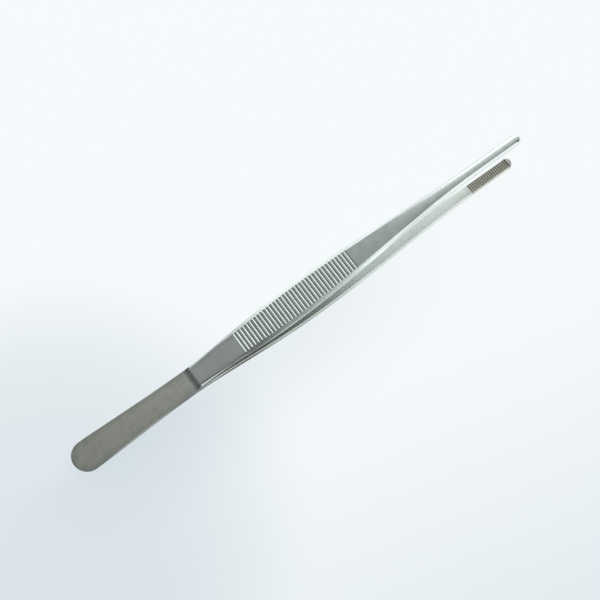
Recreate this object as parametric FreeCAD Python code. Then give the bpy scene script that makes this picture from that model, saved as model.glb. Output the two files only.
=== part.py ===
import FreeCAD, Part
import math
import os

# Straight thumb forceps of satin stainless steel: two mirrored spring legs, welded face to face at the butt.
# Each leg is drawn with its inner face on the plane Z = 0 at the butt, X along it, Y across it. All in mm.

# Lengths along the leg, from the butt's end
total_length = 200.0
weld_length = 48.5
step_at = 53.1
grip_from = 73.2
jaw_from = 179.6

# Full widths, each with the place where it is reached
butt_width = 11.25
taper_at, taper_width = 22.0, 10.29
waist_at, waist_width = 40.0, 9.28
waist_to, blade_root_width = 56.0, 9.06
grip_widest_at, grip_width = 96.5, 11.82
grip_front_at, grip_front_width = 113.0, 11.13
shank_root_at, shank_root_width = 130.0, 9.3
shank_at, shank_width = 150.0, 6.39
neck_at, neck_width = 170.0, 4.42
jaw_width = 3.97
nose_width = 3.95

# Thickness, square to the inner face
leaf_thickness = 1.45
blade_thickness = 2.8
grip_thickness = 3.1
shank_thickness = 3.0
jaw_thickness = 2.75

# Opening of one leg, seen from the side
spring_bend_radius = 120.0
opening_angle = 4.79
inward_from = 137.0
inward_radius = 725.0

# Cross-section of a leg: flat inner face with broken edges, sides that flare, bevelled outer face
inner_edge_break = 0.28
leaf_flare = -0.1
leg_flare = 0.13
flare_full_at = 68.0
step_side_height = 1.5
blade_side_height = 2.2
grip_side_height = 2.4
grip_front_side_height = 2.1
shank_side_height = 1.8
jaw_side_height = 1.75
step_bevel_run = 1.1
blade_bevel_at, blade_bevel_run = 66.0, 0.7
grip_bevel_at, grip_bevel_run = 78.0, 1.3
shank_bevel_run = 1.05
jaw_bevel_run = 1.25
# Bevel from side to outer face: 1 is a full round, 0 a flat bevel
step_bevel_round = 1.0
blade_bevel_round = 0.9
grip_bevel_round = 0.1
shank_bevel_round = 0.3
jaw_bevel_round = 0.6

# Hollow-ground ramp from the spring leaf up to the blade
ramp_wheel_radius = 4.0

# Small flats worn on the outer face where the instrument lies on a table, at the butt's end and at the bow
bearing_flat_depth = 0.05

# Cross grooves of the grip, and the teeth of the jaws
groove_count = 35
groove_pitch = 1.46
groove_width = 0.84
groove_depth = 0.22
groove_overrun = 0.1
tooth_count = 20
tooth_pitch = 0.94
tooth_gap_width = 0.86
tooth_depth = 0.34

SECTION_SPACING = 8.0
AIR = 1.0
JOIN_TOLERANCE = 0.0001
SLOPE_STEP = 0.01
MOUTH_SHARE = 0.49

butt_radius = butt_width / 2
nose_radius = nose_width / 2
nose_at = total_length - nose_radius
grip_to = grip_from + (groove_count - 1) * groove_pitch


def smooth(place, knots):
    """Smooth curve through (place, value) knots that never overshoots them, level at both ends."""
    places = [knot[0] for knot in knots]
    values = [knot[1] for knot in knots]
    if place <= places[0]:
        return values[0]
    if place >= places[-1]:
        return values[-1]
    spans = [b - a for a, b in zip(places, places[1:])]
    rises = [(b - a) / span for a, b, span in zip(values, values[1:], spans)]
    slopes = [0.0]
    for before, after in zip(rises, rises[1:]):
        slopes.append(0.0 if before * after <= 0 else 2 * before * after / (before + after))
    slopes.append(0.0)
    n = max(i for i in range(len(spans)) if places[i] <= place)
    u = (place - places[n]) / spans[n]
    start = (1 + 2 * u) * (1 - u) ** 2 * values[n] + u * (1 - u) ** 2 * spans[n] * slopes[n]
    end = u * u * (3 - 2 * u) * values[n + 1] - u * u * (1 - u) * spans[n] * slopes[n + 1]
    return start + end


def width(x):
    return smooth(x, [
        (butt_radius, butt_width), (taper_at, taper_width), (waist_at, waist_width),
        (waist_to, blade_root_width), (grip_widest_at, grip_width), (grip_front_at, grip_front_width),
        (shank_root_at, shank_root_width), (shank_at, shank_width), (neck_at, neck_width),
        (jaw_from, jaw_width), (nose_at, nose_width),
    ])


def thickness(x):
    return smooth(x, [
        (step_at, blade_thickness), (grip_widest_at, grip_thickness),
        (shank_at, shank_thickness), (nose_at, jaw_thickness),
    ])


def side_height(x):
    return smooth(x, [
        (step_at, step_side_height), (blade_bevel_at, blade_side_height), (grip_from, grip_side_height),
        (grip_to, grip_front_side_height), (shank_at, shank_side_height), (nose_at, jaw_side_height),
    ])


def flare(x):
    """How far a side's outer edge stands out beyond its inner edge."""
    return smooth(x, [(weld_length, leaf_flare), (flare_full_at, leg_flare)])


def bevel_run(x):
    return smooth(x, [
        (step_at, step_bevel_run), (blade_bevel_at, blade_bevel_run), (grip_bevel_at, grip_bevel_run),
        (grip_to, grip_bevel_run), (shank_at, shank_bevel_run), (nose_at, jaw_bevel_run),
    ])


def bevel_round(x):
    return smooth(x, [
        (step_at, step_bevel_round), (blade_bevel_at, blade_bevel_round), (grip_bevel_at, grip_bevel_round),
        (grip_to, grip_bevel_round), (shank_at, shank_bevel_round), (nose_at, jaw_bevel_round),
    ])


def inner_height(x):
    """Height of the leg's inner face above the mid-plane: bend, straight stretch, then a slow curve inwards."""
    angle = math.radians(opening_angle)
    bend_end = weld_length + spring_bend_radius * math.sin(angle)
    if x <= weld_length:
        return 0.0
    if x <= bend_end:
        return spring_bend_radius - math.sqrt(spring_bend_radius ** 2 - (x - weld_length) ** 2)
    height = spring_bend_radius * (1 - math.cos(angle)) + (x - bend_end) * math.tan(angle)
    return height - max(0.0, x - inward_from) ** 2 / (2 * inward_radius)


def slope_angle(x):
    """Slope of the inner face in degrees."""
    if x <= weld_length:
        return 0.0
    rise = inner_height(x + SLOPE_STEP) - inner_height(x - SLOPE_STEP)
    return math.degrees(math.atan2(rise, 2 * SLOPE_STEP))


def on_leg(shape, x, lift=0.0):
    """Puts a shape drawn about the origin at place x of the leg, square to its inner face."""
    turn = FreeCAD.Rotation(FreeCAD.Vector(0, 1, 0), -slope_angle(x))
    up = turn.multVec(FreeCAD.Vector(0, 0, lift))
    shape.Placement = FreeCAD.Placement(FreeCAD.Vector(x, 0, inner_height(x)) + up, turn)
    return shape


def at(y, z):
    return FreeCAD.Vector(0, y, z)


def bend(start, corner, end):
    """Round edge that leaves start and reaches end in the directions of the corner."""
    curve = Part.BezierCurve()
    curve.setPoles([start, corner, end])
    return curve.toShape()


def half_outline(x, side):
    """Edges of one half of the cross-section, from the inner face's flat to the outer face's."""
    half = width(x) / 2
    top = thickness(x)
    height = side_height(x)
    shoulder = half + flare(x)
    flat = half - inner_edge_break
    brow = shoulder - bevel_run(x)
    middle = ((shoulder + brow) / 2, (height + top) / 2)
    corner_y = middle[0] + (shoulder - middle[0]) * bevel_round(x)
    corner_z = middle[1] + (top - middle[1]) * bevel_round(x)
    edges = [
        Part.makeLine(at(side * flat, 0), at(side * half, inner_edge_break)),
        Part.makeLine(at(side * half, inner_edge_break), at(side * shoulder, height)),
        bend(at(side * shoulder, height), at(side * corner_y, corner_z), at(side * brow, top)),
    ]
    return edges, flat, brow


def section(x):
    right, flat, brow = half_outline(x, 1)
    left = half_outline(x, -1)[0]
    inner = Part.makeLine(at(-flat, 0), at(flat, 0))
    outer = Part.makeLine(at(brow, thickness(x)), at(-brow, thickness(x)))
    return on_leg(Part.Wire([inner] + right + [outer] + left[::-1]), x)


def rounded_end(x, sweep):
    """End of the leg as seen from above: half the cross-section turned about its upright middle line."""
    edges, flat, brow = half_outline(x, 1)
    top = thickness(x)
    inner = Part.makeLine(at(0, 0), at(flat, 0))
    outer = Part.makeLine(at(brow, top), at(0, top))
    half_face = Part.Face(Part.Wire([inner] + edges + [outer, Part.makeLine(at(0, top), at(0, 0))]))
    return on_leg(half_face.revolve(FreeCAD.Vector(0, 0, 0), FreeCAD.Vector(0, 0, 1), sweep), x)


def lofted(start, end):
    count = max(3, math.ceil((end - start) / SECTION_SPACING))
    places = [start + (end - start) * i / count for i in range(count + 1)]
    return Part.makeLoft([section(x) for x in places], True, False)


def recess_cutter():
    """Air above the spring leaf, with the grinding wheel's round at its end."""
    rise = inner_height(step_at) + blade_thickness - leaf_thickness
    start = step_at - math.sqrt(2 * ramp_wheel_radius * rise - rise ** 2)
    high = leaf_thickness + ramp_wheel_radius
    side = butt_width / 2 + AIR

    def point(x, z):
        return FreeCAD.Vector(x, -side, z)

    turned = ramp_wheel_radius * math.sin(math.pi / 4)
    ramp = Part.Arc(
        point(start, leaf_thickness), point(start + turned, high - turned), point(start + ramp_wheel_radius, high)
    ).toShape()
    edges = [
        Part.makeLine(point(-AIR, leaf_thickness), point(start, leaf_thickness)),
        ramp,
        Part.makeLine(point(start + ramp_wheel_radius, high), point(-AIR, high)),
        Part.makeLine(point(-AIR, high), point(-AIR, leaf_thickness)),
    ]
    return Part.Face(Part.Wire(edges)).extrude(FreeCAD.Vector(0, 2 * side, 0))


def vee_cutter(half_length, cut_width, depth, pitch, direction):
    """Vee across the leg, cut_width wide and depth deep in its face, its mouth in the air along direction."""
    spread = MOUTH_SHARE * pitch
    air = depth * (2 * spread / cut_width - 1)
    corners = [(0, depth), (spread, -air), (-spread, -air)]
    points = [FreeCAD.Vector(x, -half_length, direction * z) for x, z in corners]
    return Part.Face(Part.makePolygon(points + points[:1])).extrude(FreeCAD.Vector(0, 2 * half_length, 0))


def grip_cutters():
    cutters = []
    for i in range(groove_count):
        x = grip_from + i * groove_pitch
        half_length = width(x) / 2 + flare(x) - bevel_run(x) + groove_overrun
        cutter = vee_cutter(half_length, groove_width, groove_depth, groove_pitch, -1)
        cutters.append(on_leg(cutter, x, thickness(x)))
    return cutters


def tooth_cutters(count, offset):
    cutters = []
    for i in range(count):
        x = jaw_from + offset + (i + 0.5) * tooth_pitch
        cutter = vee_cutter(jaw_width, tooth_gap_width, tooth_depth, tooth_pitch, 1)
        cutters.append(on_leg(cutter, x))
    return cutters


def leg_blank():
    spring = lofted(butt_radius, weld_length)
    blade = lofted(weld_length, nose_at)
    butt = rounded_end(butt_radius, 180)
    nose = rounded_end(nose_at, -180)
    leg = spring.fuse([blade, butt, nose], JOIN_TOLERANCE)
    leg = leg.cut(recess_cutter())
    return leg.cut(grip_cutters())


def rest_angle():
    """Angle by which the pair leans when it lies on its lower leg, on the butt's end and the leg's bow."""
    places = [step_at + i for i in range(1, int(nose_at - step_at))]
    drops = [(inner_height(x) + thickness(x) - leaf_thickness) / (x + leaf_flare) for x in places]
    return math.degrees(math.atan(max(drops)))


def turned(shape, angle):
    shape.rotate(FreeCAD.Vector(0, 0, 0), FreeCAD.Vector(0, 1, 0), angle)
    return shape


def with_bearing_flats(leg):
    """Leg with its outer face taken off where it touches the table, at the angle at which it lies."""
    leg = turned(leg, rest_angle())
    box = leg.optimalBoundingBox(False, False)
    corner = FreeCAD.Vector(box.XMin - AIR, box.YMin - AIR, box.ZMax - bearing_flat_depth)
    size = (box.XLength + 2 * AIR, box.YLength + 2 * AIR, bearing_flat_depth + AIR)
    return turned(leg.cut(Part.makeBox(*size, corner)), -rest_angle())


def main():
    os.makedirs("parts", exist_ok=True)
    blank = with_bearing_flats(leg_blank())
    upper = blank.cut(tooth_cutters(tooth_count - 1, tooth_pitch / 2))
    lower = blank.cut(tooth_cutters(tooth_count, 0.0))
    lower = lower.mirror(FreeCAD.Vector(0, 0, 0), FreeCAD.Vector(0, 0, 1))
    pair = {"upper_leg": turned(upper, -rest_angle()), "lower_leg": turned(lower, -rest_angle())}
    box = FreeCAD.BoundBox()
    for shape in pair.values():
        box.add(shape.optimalBoundingBox(False, False))
    table_height = min(vertex.Z for vertex in pair["lower_leg"].Vertexes)
    for name, shape in pair.items():
        shape.translate(FreeCAD.Vector(-box.Center.x, -box.Center.y, -table_height))
        solid = shape.Solids[0]
        print(name, len(shape.Solids), shape.isValid(), round(solid.Volume, 1), "mm3", len(solid.Faces), "faces")
        solid.exportStep(f"parts/{name}.step")


main()
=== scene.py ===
import bmesh
import bpy
from mathutils import Matrix, Vector

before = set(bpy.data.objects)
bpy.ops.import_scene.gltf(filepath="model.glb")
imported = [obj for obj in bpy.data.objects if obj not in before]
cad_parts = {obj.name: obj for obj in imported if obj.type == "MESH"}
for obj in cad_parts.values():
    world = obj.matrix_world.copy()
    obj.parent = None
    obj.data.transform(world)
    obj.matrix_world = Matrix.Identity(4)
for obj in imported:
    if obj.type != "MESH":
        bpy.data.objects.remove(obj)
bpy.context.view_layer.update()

# Places and lengths are in metres. x runs along the forceps from the butt to the nose, y across
# them and away from the viewer, and z up from the sweep. A span is two places: a mask rises from
# 0 at the first to 1 at the second. The spans that have no other word to them lie along x

# The steel's colours, and the colours of its painted highlights and painted shade
steel_colour = (0.71, 0.77, 0.755, 1.0)
steel_shade = (0.64, 0.695, 0.68, 1.0)
butt_colour = (0.705, 0.715, 0.645, 1.0)
butt_shade = (0.61, 0.62, 0.56, 1.0)
painted_highlight_colour = (0.86, 0.90, 0.90, 1.0)
painted_shade_colour = (0.17, 0.18, 0.17, 1.0)
tooth_colour = (0.70, 0.69, 0.61, 1.0)

# The satin finish: scale and detail of its clouds, patches and brushed grain, and how the last
# two are drawn out along x
cloud_noise = (420.0, 4.0)
patch_noise = (60.0, 2.0, (0.5, 1, 1))
grain_noise = (5200.0, 2.0, (0.35, 1, 1))
# How much each gives to the tone between shade and colour, to the roughness and to the bump
cloud_in_tone = 0.6
patch_in_tone = 0.4
tone_span = (0.35, 0.65)
satin_roughness = 0.3
cloud_roughness = 0.07
grain_roughness = 0.05
cloud_height = 0.000004
grain_height = 0.0000016

# The plane between the legs: its slope along x, its height at x = 0, and the span across it
parting_slope = 0.0634
parting_height = 0.00775
parting_span = (-0.0001, 0.0001)

# The butt's steel gives way to the legs' at the foot of the ramp
butt_end = (-0.053, -0.048)

# Painted highlights: the blade between the ramp and the grip, and the lower leg behind its teeth,
# are painted lighter
blade_start = (-0.05, -0.045)
blade_end = (-0.03, -0.02)
blade_lightness = 0.5
neck_start = (0.05, 0.062)
neck_end = (0.077, 0.079)
neck_lightness = 0.6

# Painted highlights along the upper leg's edges. Half the width of the satin between them narrows
# from the grip to the jaw, and its middle lies a little nearer to the viewer than the leg's
satin_half = 0.00375
satin_narrowing = 0.003
narrowing_span = (0.028, 0.075)
satin_offset = 0.0005
highlight_start = (0.02, 0.035)
highlight_edge = (-0.0001, 0.0004)

# Painted shade on the edges of the butt, which is round about its centre, and of the spring. Half
# a leg's width is the butt's, less what it narrows to the waist, and more what it widens to the
# grip
butt_centre = -0.0946
butt_half = 0.00564
waist_narrowing = 0.0011
waist_span = (-0.098, -0.05)
grip_widening = 0.0015
widening_span = (-0.045, 0.0)
# The painted shade is sharp and nearly black at the edge itself, and fades over 3 mm inside it
sharp_rim = (-0.0002, 0.0)
sharp_darkness = 0.8
soft_rim = (-0.003, 0.0)
soft_darkness = 0.2
dark_edge_end = (-0.03, -0.01)

# The lower leg: warmer steel past the butt, brown teeth, and painted shade on its grip under the
# upper one
warm_start = (-0.05, -0.04)
warmth = 0.35
teeth_start = (0.0792, 0.0796)
tooth_brown = 0.65
cover_start = (-0.045, -0.03)
cover_end = (0.0, 0.03)
cover_darkness = 0.42

# Painted shade on the noses: a crescent on the near rim of the upper one, given by its distance
# from the nose's centre and its side, and the lower one's plain end past its teeth
nose_centre = 0.0968
crescent_inside = (0.0006, 0.001)
crescent_outside = (0.0012, 0.0016)
crescent_side = (-0.0005, 0.0003)
upper_nose_start = (0.0955, 0.097)
upper_nose_darkness = 0.8
lower_nose_start = (0.0968, 0.0985)
lower_nose_darkness = 0.4

# Doming of the outer faces, in the bump alone. The surface falls by y squared times what the steps
# add up to, each a span along x and its number. The lower leg's faces have a share of it
dome_steps = (
    ((0.015, 0.03), 6.0),
    ((0.035, 0.058), 36.0),
    ((0.05, 0.085), 28.0),
)
lower_dome_share = 0.3

# The sweep's paper, and how much of its colour is seen as it is written
sweep_reach = 2.0
sweep_colour = (0.90, 0.925, 0.94, 1.0)
sweep_bright = (0.95, 0.985, 1.0, 1.0)
sweep_dim = (0.55, 0.65, 0.71, 1.0)
sweep_glow = 0.93
sweep_roughness = 0.9
sweep_gloss = 0.1

# Shade towards the viewer, which slants with x
front_slant = 0.25
front_span = (-0.32, 0.0)
front_shade = 0.95
# Shade around a place near the butt, its span in squared distance
around_x = -0.12
around_y = -0.01
around_span = (0.0, 0.01)
around_shade = 0.48
# Shade on the near side of the forceps, between two spans towards the viewer and two along x
beside_start = (-0.004, 0.006)
beside_end = (0.004, 0.045)
beside_left = (-0.15, -0.05)
beside_right = (-0.03, 0.09)
beside_shade = 0.25
# All three end at a distance from the middle, its span squared
shade_limit = (0.03, 0.09)

# In the steel's reflections the sweep is darker in the corner between it and the butt
corner_reach = 0.005
corner_openness = (0.6, 1.0)
corner_samples = 8
corner_end = (-0.03, -0.01)

# Surroundings: a grey ceiling over bright walls, with a dark wall behind the butt. The ceiling
# grows brighter towards the nose and away from the viewer. These spans are parts of a direction
ceiling_level = 0.37
ceiling_growth = 1.9
ceiling_most = 1.35
ceiling_across = 1.1
ceiling_middle = 0.25
ceiling_least = 0.45
wall_level = 1.15
near_wall_level = 1.6
near_wall_span = (0.15, 0.5)
far_wall_level = 1.4
far_wall_span = (0.3, 0.7)
dark_wall_level = 0.13
dark_wall_span = (0.15, 0.6)
dark_corner_level = 0.15
dark_corner_along = (0.35, 0.6)
dark_corner_across = (0.3, 0.5)
wall_top = (0.40, 0.62)
near_wall_rise = 0.02
room_colour = (0.96, 1.0, 0.985, 1.0)
backdrop_colour = (0.88, 0.93, 0.96, 1.0)

# The softbox, which aims at the middle of the forceps
key_place = (0.55, 0.8, 0.75)
key_size = (0.8, 0.6)
key_power = 2.0

# The photograph's camera: lens and film in millimetres, where it stands, and how it is turned
focal_length = 60.0
film_width = 36.0
near_clip = 0.01
camera_place = (-0.06778, -0.09136, 0.35688)
camera_right = (0.80849, -0.58851, 0.00036)
camera_back = (-0.18348, -0.25147, 0.95031)


class Socket:
    """A node's output with arithmetic, so that shader maths reads as an expression."""

    def __init__(self, tree, link):
        self.tree = tree
        self.link = link

    def node(self, kind, settings=None, **sockets):
        """A new node, its settings first, and a value or a link for each socket that is named."""
        made = self.tree.nodes.new(kind)
        for name, value in (settings or {}).items():
            setattr(made, name, value)
        for name, value in sockets.items():
            self.feed(made, name, value)
        return made

    def feed(self, made, name, value):
        """Sockets go by name, with _ for a space, or by number, as n0, n1 and so on."""
        key = int(name[1:]) if name[1:].isdigit() else name.replace("_", " ")
        if isinstance(value, Socket):
            self.tree.links.new(value.link, made.inputs[key])
        else:
            made.inputs[key].default_value = value

    def maths(self, operation, *values):
        made = self.node("ShaderNodeMath", {"operation": operation})
        for number, value in enumerate(values):
            self.feed(made, f"n{number}", value)
        return Socket(self.tree, made.outputs[0])

    def __add__(self, other):
        return self.maths("ADD", self, other)

    def __sub__(self, other):
        return self.maths("SUBTRACT", self, other)

    def __rsub__(self, other):
        return self.maths("SUBTRACT", other, self)

    def __mul__(self, other):
        return self.maths("MULTIPLY", self, other)

    __radd__ = __add__
    __rmul__ = __mul__

    def at_least(self, limit):
        return self.maths("MAXIMUM", self, limit)

    def at_most(self, limit):
        return self.maths("MINIMUM", self, limit)

    def square_root(self):
        return self.maths("SQRT", self)

    def exponential(self):
        return self.maths("EXPONENT", self)

    def rise(self, span):
        """0 before the span, 1 past it, and smooth between."""
        low, high = span
        made = self.node("ShaderNodeMapRange", {"interpolation_type": "SMOOTHSTEP"},
                         Value=self, From_Min=low, From_Max=high)
        return Socket(self.tree, made.outputs["Result"])

    def within(self, start, end):
        """1 between the span start and the span end, and 0 outside the two."""
        return self.rise(start) * (1 - self.rise(end))

    def blend(self, first, second):
        """Colour first where this is 0 and second where it is 1."""
        made = self.node("ShaderNodeMix", {"data_type": "RGBA"}, n0=self, n6=first, n7=second)
        return Socket(self.tree, made.outputs[2])


def coordinates(tree, output="Object"):
    source = tree.nodes.new("ShaderNodeTexCoord")
    return Socket(tree, source.outputs[output])


def axes_of(vector):
    made = vector.node("ShaderNodeSeparateXYZ", Vector=vector)
    return [Socket(vector.tree, output) for output in made.outputs]


def noise(vector, scale, detail, stretch=(1, 1, 1)):
    placed = vector.node("ShaderNodeMapping", Vector=vector, Scale=stretch)
    placed = Socket(vector.tree, placed.outputs[0])
    made = vector.node("ShaderNodeTexNoise", {"noise_dimensions": "3D"},
                       Vector=placed, Scale=scale, Detail=detail)
    return Socket(vector.tree, made.outputs[0])


def distance(first, second):
    return (first * first + second * second).square_root()


def new_material(name):
    material = bpy.data.materials.new(name)
    material.use_nodes = True
    return material, material.node_tree.nodes["Principled BSDF"]


def steel_with_painted_light(x, upper, tone):
    """The butt's steel and the legs', with painted highlights in two places."""
    butt = tone.blend(butt_shade, butt_colour)
    leg = tone.blend(steel_shade, steel_colour)
    # Painted highlights: the blade and the lower leg's neck are blended towards the highlight
    # colour
    blade = x.within(blade_start, blade_end) * upper
    neck = x.within(neck_start, neck_end) * (1 - upper)
    lighter = blade * blade_lightness + neck * neck_lightness
    steel = x.rise(butt_end).blend(butt, leg)
    return lighter.blend(steel, painted_highlight_colour)


def painted_edge_highlights(x, y, upper):
    """Where painted highlights lie along the upper leg's edges, from the grip to the nose."""
    off_middle = y + satin_offset
    aside = (off_middle * off_middle).square_root()
    satin = satin_half - x.rise(narrowing_span) * satin_narrowing
    return (aside - satin).rise(highlight_edge) * x.rise(highlight_start) * upper


def painted_edge_shade(x, y):
    """Where painted shade darkens the legs' edges, round the butt and along the spring."""
    half = (butt_half - x.rise(waist_span) * waist_narrowing
            + x.rise(widening_span) * grip_widening)
    past_edge = distance(y, (x - butt_centre).at_most(0.0)) - half
    rim = past_edge.rise(sharp_rim) * sharp_darkness + past_edge.rise(soft_rim) * soft_darkness
    return rim * (1 - x.rise(dark_edge_end))


def painted_nose_shade(x, y, upper):
    """Where painted shade darkens the noses of the two legs."""
    reach = distance(x - nose_centre, y)
    crescent = reach.within(crescent_inside, crescent_outside) * (0 - y).rise(crescent_side)
    return (crescent * x.rise(upper_nose_start) * upper * upper_nose_darkness
            + x.rise(lower_nose_start) * (1 - upper) * lower_nose_darkness)


def satin_steel():
    material, shader = new_material("satin_steel")
    shader.inputs["Metallic"].default_value = 1.0
    place = coordinates(material.node_tree)
    x, y, z = axes_of(place)
    # 1 on the upper leg and 0 on the lower one
    upper = (z - x * parting_slope - parting_height).rise(parting_span)
    lower = 1 - upper
    cloud = noise(place, *cloud_noise)
    patch = noise(place, *patch_noise)
    grain = noise(place, *grain_noise)

    tone = (cloud * cloud_in_tone + patch * patch_in_tone).rise(tone_span)
    colour = steel_with_painted_light(x, upper, tone)
    # Painted highlights on the upper leg's edges
    colour = painted_edge_highlights(x, y, upper).blend(colour, painted_highlight_colour)
    # Painted shade on the edges of the butt and the spring
    colour = painted_edge_shade(x, y).blend(colour, painted_shade_colour)
    brown = (x.rise(warm_start) * warmth + x.rise(teeth_start) * tooth_brown) * lower
    colour = brown.blend(colour, tooth_colour)
    # Painted shade where the upper leg shades the lower leg's grip
    painted_cover_shade = x.within(cover_start, cover_end) * lower * cover_darkness
    colour = painted_cover_shade.blend(colour, painted_shade_colour)
    # Painted shade on the noses of the two legs
    colour = painted_nose_shade(x, y, upper).blend(colour, painted_shade_colour)

    dome = sum(x.rise(span) * fall for span, fall in dome_steps)
    dome = dome * (lower_dome_share + upper * (1 - lower_dome_share))
    height = grain * grain_height + cloud * cloud_height - y * y * dome
    bump = place.node("ShaderNodeBump", Height=height, Distance=1.0, Strength=1.0)
    place.feed(shader, "Base Color", colour)
    place.feed(shader, "Roughness",
               satin_roughness + cloud * cloud_roughness + grain * grain_roughness)
    place.feed(shader, "Normal", Socket(material.node_tree, bump.outputs[0]))
    return material


def sweep_paper():
    material, shader = new_material("sweep_paper")
    shader.inputs["Roughness"].default_value = sweep_roughness
    shader.inputs["Specular IOR Level"].default_value = sweep_gloss
    shader.inputs["Base Color"].default_value = sweep_colour
    tree = material.node_tree
    place = coordinates(tree)
    x, y, _ = axes_of(place)

    # The sweep falls off towards the viewer, around the butt and on the near side of the forceps
    front = 1 - (x * front_slant + y).rise(front_span)
    along, across = x - around_x, y - around_y
    around = 1 - (along * along + across * across).rise(around_span)
    beside = (0 - y).within(beside_start, beside_end) * x.within(beside_left, beside_right)
    close_by = 1 - (x * x + y * y).rise(shade_limit)
    shade = (front * front_shade + around * around_shade + beside * beside_shade) * close_by
    paper = shade.blend(sweep_bright, sweep_dim)
    glow = place.node("ShaderNodeEmission", Color=paper, Strength=1.0)

    # The camera and the steel see mostly that colour, and for the rest the paper as it is lit
    rays = place.node("ShaderNodeLightPath")
    openness = place.node("ShaderNodeAmbientOcclusion", {"samples": corner_samples},
                          Distance=corner_reach)
    closed = 1 - Socket(tree, openness.outputs["AO"]).rise(corner_openness)
    beside_butt = 1 - x.rise(corner_end)
    by_camera = Socket(tree, rays.outputs["Is Camera Ray"])
    by_steel = Socket(tree, rays.outputs["Is Glossy Ray"]) * (1 - closed * beside_butt)
    mixed = place.node("ShaderNodeMixShader", n0=(by_camera + by_steel) * sweep_glow,
                       n1=Socket(tree, shader.outputs[0]), n2=Socket(tree, glow.outputs[0]))
    place.feed(tree.nodes["Material Output"], "Surface", Socket(tree, mixed.outputs[0]))
    return material


def studio_room():
    world = bpy.data.worlds.new("studio_room")
    bpy.context.scene.world = world
    world.use_nodes = True
    direction = coordinates(world.node_tree, "Generated")
    x, y, z = axes_of(direction)

    near = (0 - y).rise(near_wall_span)
    far = y.rise(far_wall_span)
    behind_butt = (0 - x).rise(dark_wall_span)
    corner = x.rise(dark_corner_along) * (0 - y).rise(dark_corner_across)
    wall = (wall_level + near * (near_wall_level - wall_level)
            + far * (far_wall_level - wall_level))
    wall = wall + behind_butt * (dark_wall_level - wall)
    wall = wall + corner * (dark_corner_level - wall)
    ceiling = ((x * ceiling_growth).exponential() * ceiling_level).at_most(ceiling_most)
    ceiling = ceiling * (1 + (y - ceiling_middle) * ceiling_across).at_least(ceiling_least)
    level = wall + (z - near * near_wall_rise).rise(wall_top) * (ceiling - wall)

    # The camera sees a plain backdrop at a level of 1
    rays = direction.node("ShaderNodeLightPath")
    seen = Socket(world.node_tree, rays.outputs["Is Camera Ray"])
    background = world.node_tree.nodes["Background"]
    direction.feed(background, "Color", seen.blend(room_colour, backdrop_colour))
    direction.feed(background, "Strength", level + seen * (1 - level))


def floor():
    shape = bmesh.new()
    bmesh.ops.create_grid(shape, x_segments=1, y_segments=1, size=sweep_reach)
    mesh = bpy.data.meshes.new("sweep")
    shape.to_mesh(mesh)
    shape.free()
    sweep = bpy.data.objects.new("sweep", mesh)
    bpy.context.scene.collection.objects.link(sweep)
    mesh.materials.append(sweep_paper())


def camera():
    lens = bpy.data.cameras.new("camera")
    lens.lens = focal_length
    lens.sensor_width = film_width
    lens.clip_start = near_clip
    eye = bpy.data.objects.new("camera", lens)
    bpy.context.scene.collection.objects.link(eye)
    right, back = Vector(camera_right), Vector(camera_back)
    turn = Matrix((right, back.cross(right), back)).transposed()
    eye.matrix_world = Matrix.Translation(camera_place) @ turn.to_4x4()
    bpy.context.scene.camera = eye


def softbox(name, place, size, power):
    lamp = bpy.data.lights.new(name, "AREA")
    lamp.shape = "RECTANGLE"
    lamp.size, lamp.size_y = size
    lamp.energy = power
    holder = bpy.data.objects.new(name, lamp)
    bpy.context.scene.collection.objects.link(holder)
    holder.location = place
    holder.rotation_euler = (-Vector(place)).to_track_quat("-Z", "Y").to_euler()


camera()
floor()
studio_room()
softbox("key", key_place, key_size, key_power)

steel = satin_steel()
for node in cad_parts.values():
    node.data.materials.clear()
    node.data.materials.append(steel)

bpy.context.scene.view_settings.view_transform = "Standard"
